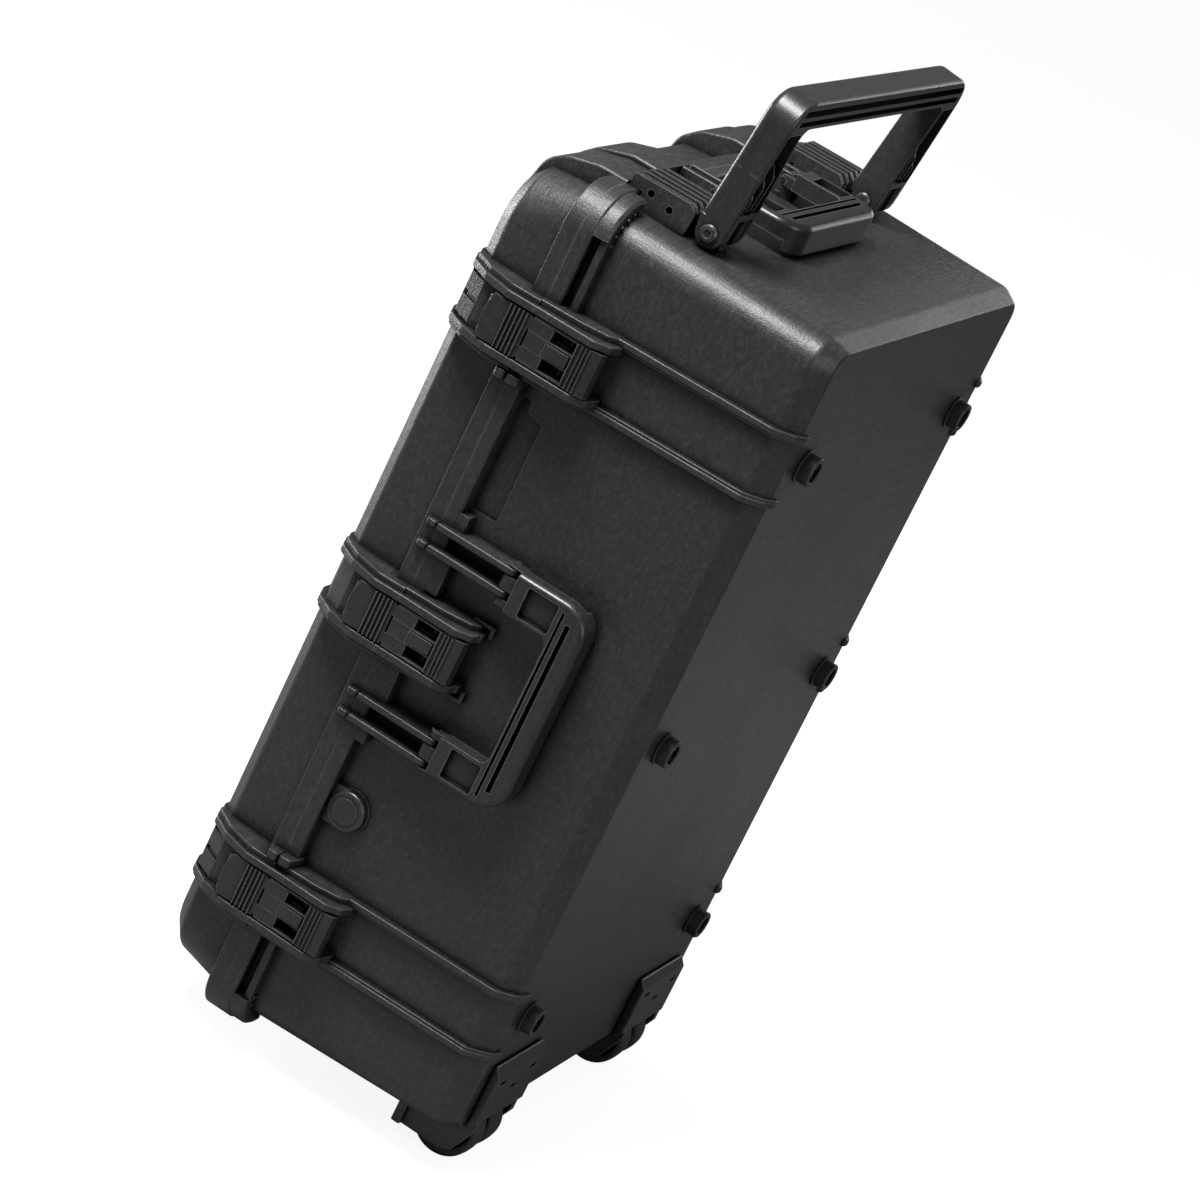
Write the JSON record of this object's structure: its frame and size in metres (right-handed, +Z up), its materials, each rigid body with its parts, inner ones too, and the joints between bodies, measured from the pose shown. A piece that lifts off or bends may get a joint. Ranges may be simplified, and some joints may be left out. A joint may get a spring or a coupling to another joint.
{
  "type": "hard equipment case",
  "caption": "Wheeled hard equipment case: ribbed tub and hinged lid, draw latches, folding carry handles, a folding pull handle and twin-disc wheels.",
  "frame": {"origin": "centre of the standing case's footprint box, on the surface that its wheels and skids stand on", "axes": "+Z up along the case's long axis to the pull handle's end, -Y to the latch side, +X to the bottom face with the six feet, -X to the lid"},
  "size_m": [0.331, 0.5604, 0.981],
  "materials": {
    "shell_black": "black polypropylene with a fine moulded flow grain",
    "trim_black": "black glass-filled nylon, slightly smoother than the shell",
    "foot_rubber": "moulded black rubber",
    "seal_rubber": "soft black seal",
    "wheel_tyre": "black polyurethane tread on a black hub",
    "steel": "plated steel pin or screw"
  },
  "bodies": {
    "base": {"base_shell": "shell_black", "hinge_pin_upper": "steel", "hinge_pin_middle": "steel", "hinge_pin_lower": "steel", "front_handle_pin_lower": "steel", "front_handle_pin_upper": "steel", "end_handle_pin_front": "steel", "end_handle_pin_back": "steel", "pull_bracket_front": "shell_black", "pull_handle_screw_front": "trim_black", "pull_bracket_back": "shell_black", "pull_handle_screw_back": "trim_black", "bracket_screw_front_rim": "steel", "bracket_screw_front_handle": "steel", "bracket_screw_back_rim": "steel", "bracket_screw_back_handle": "steel", "foot_upper_front": "foot_rubber", "foot_screw_upper_front": "steel", "foot_upper_back": "foot_rubber", "foot_screw_upper_back": "steel", "foot_middle_front": "foot_rubber", "foot_screw_middle_front": "steel", "foot_middle_back": "foot_rubber", "foot_screw_middle_back": "steel", "foot_lower_front": "foot_rubber", "foot_screw_lower_front": "steel", "foot_lower_back": "foot_rubber", "foot_screw_lower_back": "steel", "wheel_bracket_front": "trim_black", "axle_front": "steel", "wheel_bracket_back": "trim_black", "axle_back": "steel", "valve_body": "trim_black", "valve_cap": "trim_black", "valve_nut": "trim_black"},
    "lid": {"lid_shell": "shell_black", "lid_gasket": "seal_rubber"},
    "lever_upper": {"latch_lever_upper": "trim_black", "latch_pin_upper": "steel"},
    "hook_upper": {"latch_hook_upper": "trim_black"},
    "release_upper": {"latch_release_upper": "trim_black"},
    "lever_middle": {"latch_lever_middle": "trim_black", "latch_pin_middle": "steel"},
    "hook_middle": {"latch_hook_middle": "trim_black"},
    "release_middle": {"latch_release_middle": "trim_black"},
    "lever_lower": {"latch_lever_lower": "trim_black", "latch_pin_lower": "steel"},
    "hook_lower": {"latch_hook_lower": "trim_black"},
    "release_lower": {"latch_release_lower": "trim_black"},
    "front_carry": {"front_handle": "trim_black"},
    "end_carry": {"end_handle": "trim_black"},
    "pull": {"pull_handle": "trim_black"},
    "wheel_front_outer_body": {"wheel_front_outer": "wheel_tyre"},
    "wheel_front_inner_body": {"wheel_front_inner": "wheel_tyre"},
    "wheel_back_outer_body": {"wheel_back_outer": "wheel_tyre"},
    "wheel_back_inner_body": {"wheel_back_inner": "wheel_tyre"}
  },
  "joints": [
    {"name": "lid_hinge", "type": "hinge", "parent": "base", "child": "lid", "pos_m": [-0.0827, 0.27251, 0.435], "axis": [0, 0, -1], "range_deg": [0, 95]},
    {"name": "latch_lever_upper_turn", "type": "hinge", "parent": "base", "child": "lever_upper", "pos_m": [-0.0735, -0.2715, 0.711], "axis": [0, 0, -1], "range_deg": [0, 97]},
    {"name": "latch_hook_upper_turn", "type": "hinge", "parent": "lever_upper", "child": "hook_upper", "pos_m": [-0.0435, -0.2675, 0.711], "axis": [0, 0, 1], "range_deg": [0, 97]},
    {"name": "latch_release_upper_press", "type": "slide", "parent": "lever_upper", "child": "release_upper", "axis": [0, 1, 0], "range_m": [0, 0.002], "stiffness_N_per_m": 400},
    {"name": "latch_lever_middle_turn", "type": "hinge", "parent": "base", "child": "lever_middle", "pos_m": [-0.0735, -0.2715, 0.435], "axis": [0, 0, -1], "range_deg": [0, 97]},
    {"name": "latch_hook_middle_turn", "type": "hinge", "parent": "lever_middle", "child": "hook_middle", "pos_m": [-0.0435, -0.2675, 0.435], "axis": [0, 0, 1], "range_deg": [0, 97]},
    {"name": "latch_release_middle_press", "type": "slide", "parent": "lever_middle", "child": "release_middle", "axis": [0, 1, 0], "range_m": [0, 0.002], "stiffness_N_per_m": 400},
    {"name": "latch_lever_lower_turn", "type": "hinge", "parent": "base", "child": "lever_lower", "pos_m": [-0.0735, -0.2715, 0.159], "axis": [0, 0, -1], "range_deg": [0, 97]},
    {"name": "latch_hook_lower_turn", "type": "hinge", "parent": "lever_lower", "child": "hook_lower", "pos_m": [-0.0435, -0.2675, 0.159], "axis": [0, 0, 1], "range_deg": [0, 97]},
    {"name": "latch_release_lower_press", "type": "slide", "parent": "lever_lower", "child": "release_lower", "axis": [0, 1, 0], "range_m": [0, 0.002], "stiffness_N_per_m": 400},
    {"name": "front_handle_swing", "type": "hinge", "parent": "base", "child": "front_carry", "pos_m": [-0.0075, -0.26313, 0.435], "axis": [0, 0, -1], "range_deg": [0, 90]},
    {"name": "end_handle_swing", "type": "hinge", "parent": "base", "child": "end_carry", "pos_m": [-0.0465, 0, 0.84751], "axis": [0, -1, 0], "range_deg": [0, 90]},
    {"name": "pull_handle_fold", "type": "hinge", "parent": "base", "child": "pull", "pos_m": [-0.0005, 0, 0.84504], "axis": [0, 1, 0], "range_deg": [0, 85]},
    {"name": "wheel_front_outer_spin", "type": "hinge", "parent": "base", "child": "wheel_front_outer_body", "pos_m": [0.1305, -0.178, 0.031], "axis": [0, 1, 0], "continuous": true},
    {"name": "wheel_front_inner_spin", "type": "hinge", "parent": "base", "child": "wheel_front_inner_body", "pos_m": [0.1305, -0.143, 0.031], "axis": [0, 1, 0], "continuous": true},
    {"name": "wheel_back_outer_spin", "type": "hinge", "parent": "base", "child": "wheel_back_outer_body", "pos_m": [0.1305, 0.178, 0.031], "axis": [0, 1, 0], "continuous": true},
    {"name": "wheel_back_inner_spin", "type": "hinge", "parent": "base", "child": "wheel_back_inner_body", "pos_m": [0.1305, 0.143, 0.031], "axis": [0, 1, 0], "continuous": true}
  ],
  "couplings": [
    {"joint": "latch_hook_upper_turn", "follows": "latch_lever_upper_turn", "ratio": 1},
    {"joint": "latch_hook_middle_turn", "follows": "latch_lever_middle_turn", "ratio": 1},
    {"joint": "latch_hook_lower_turn", "follows": "latch_lever_lower_turn", "ratio": 1}
  ]
}
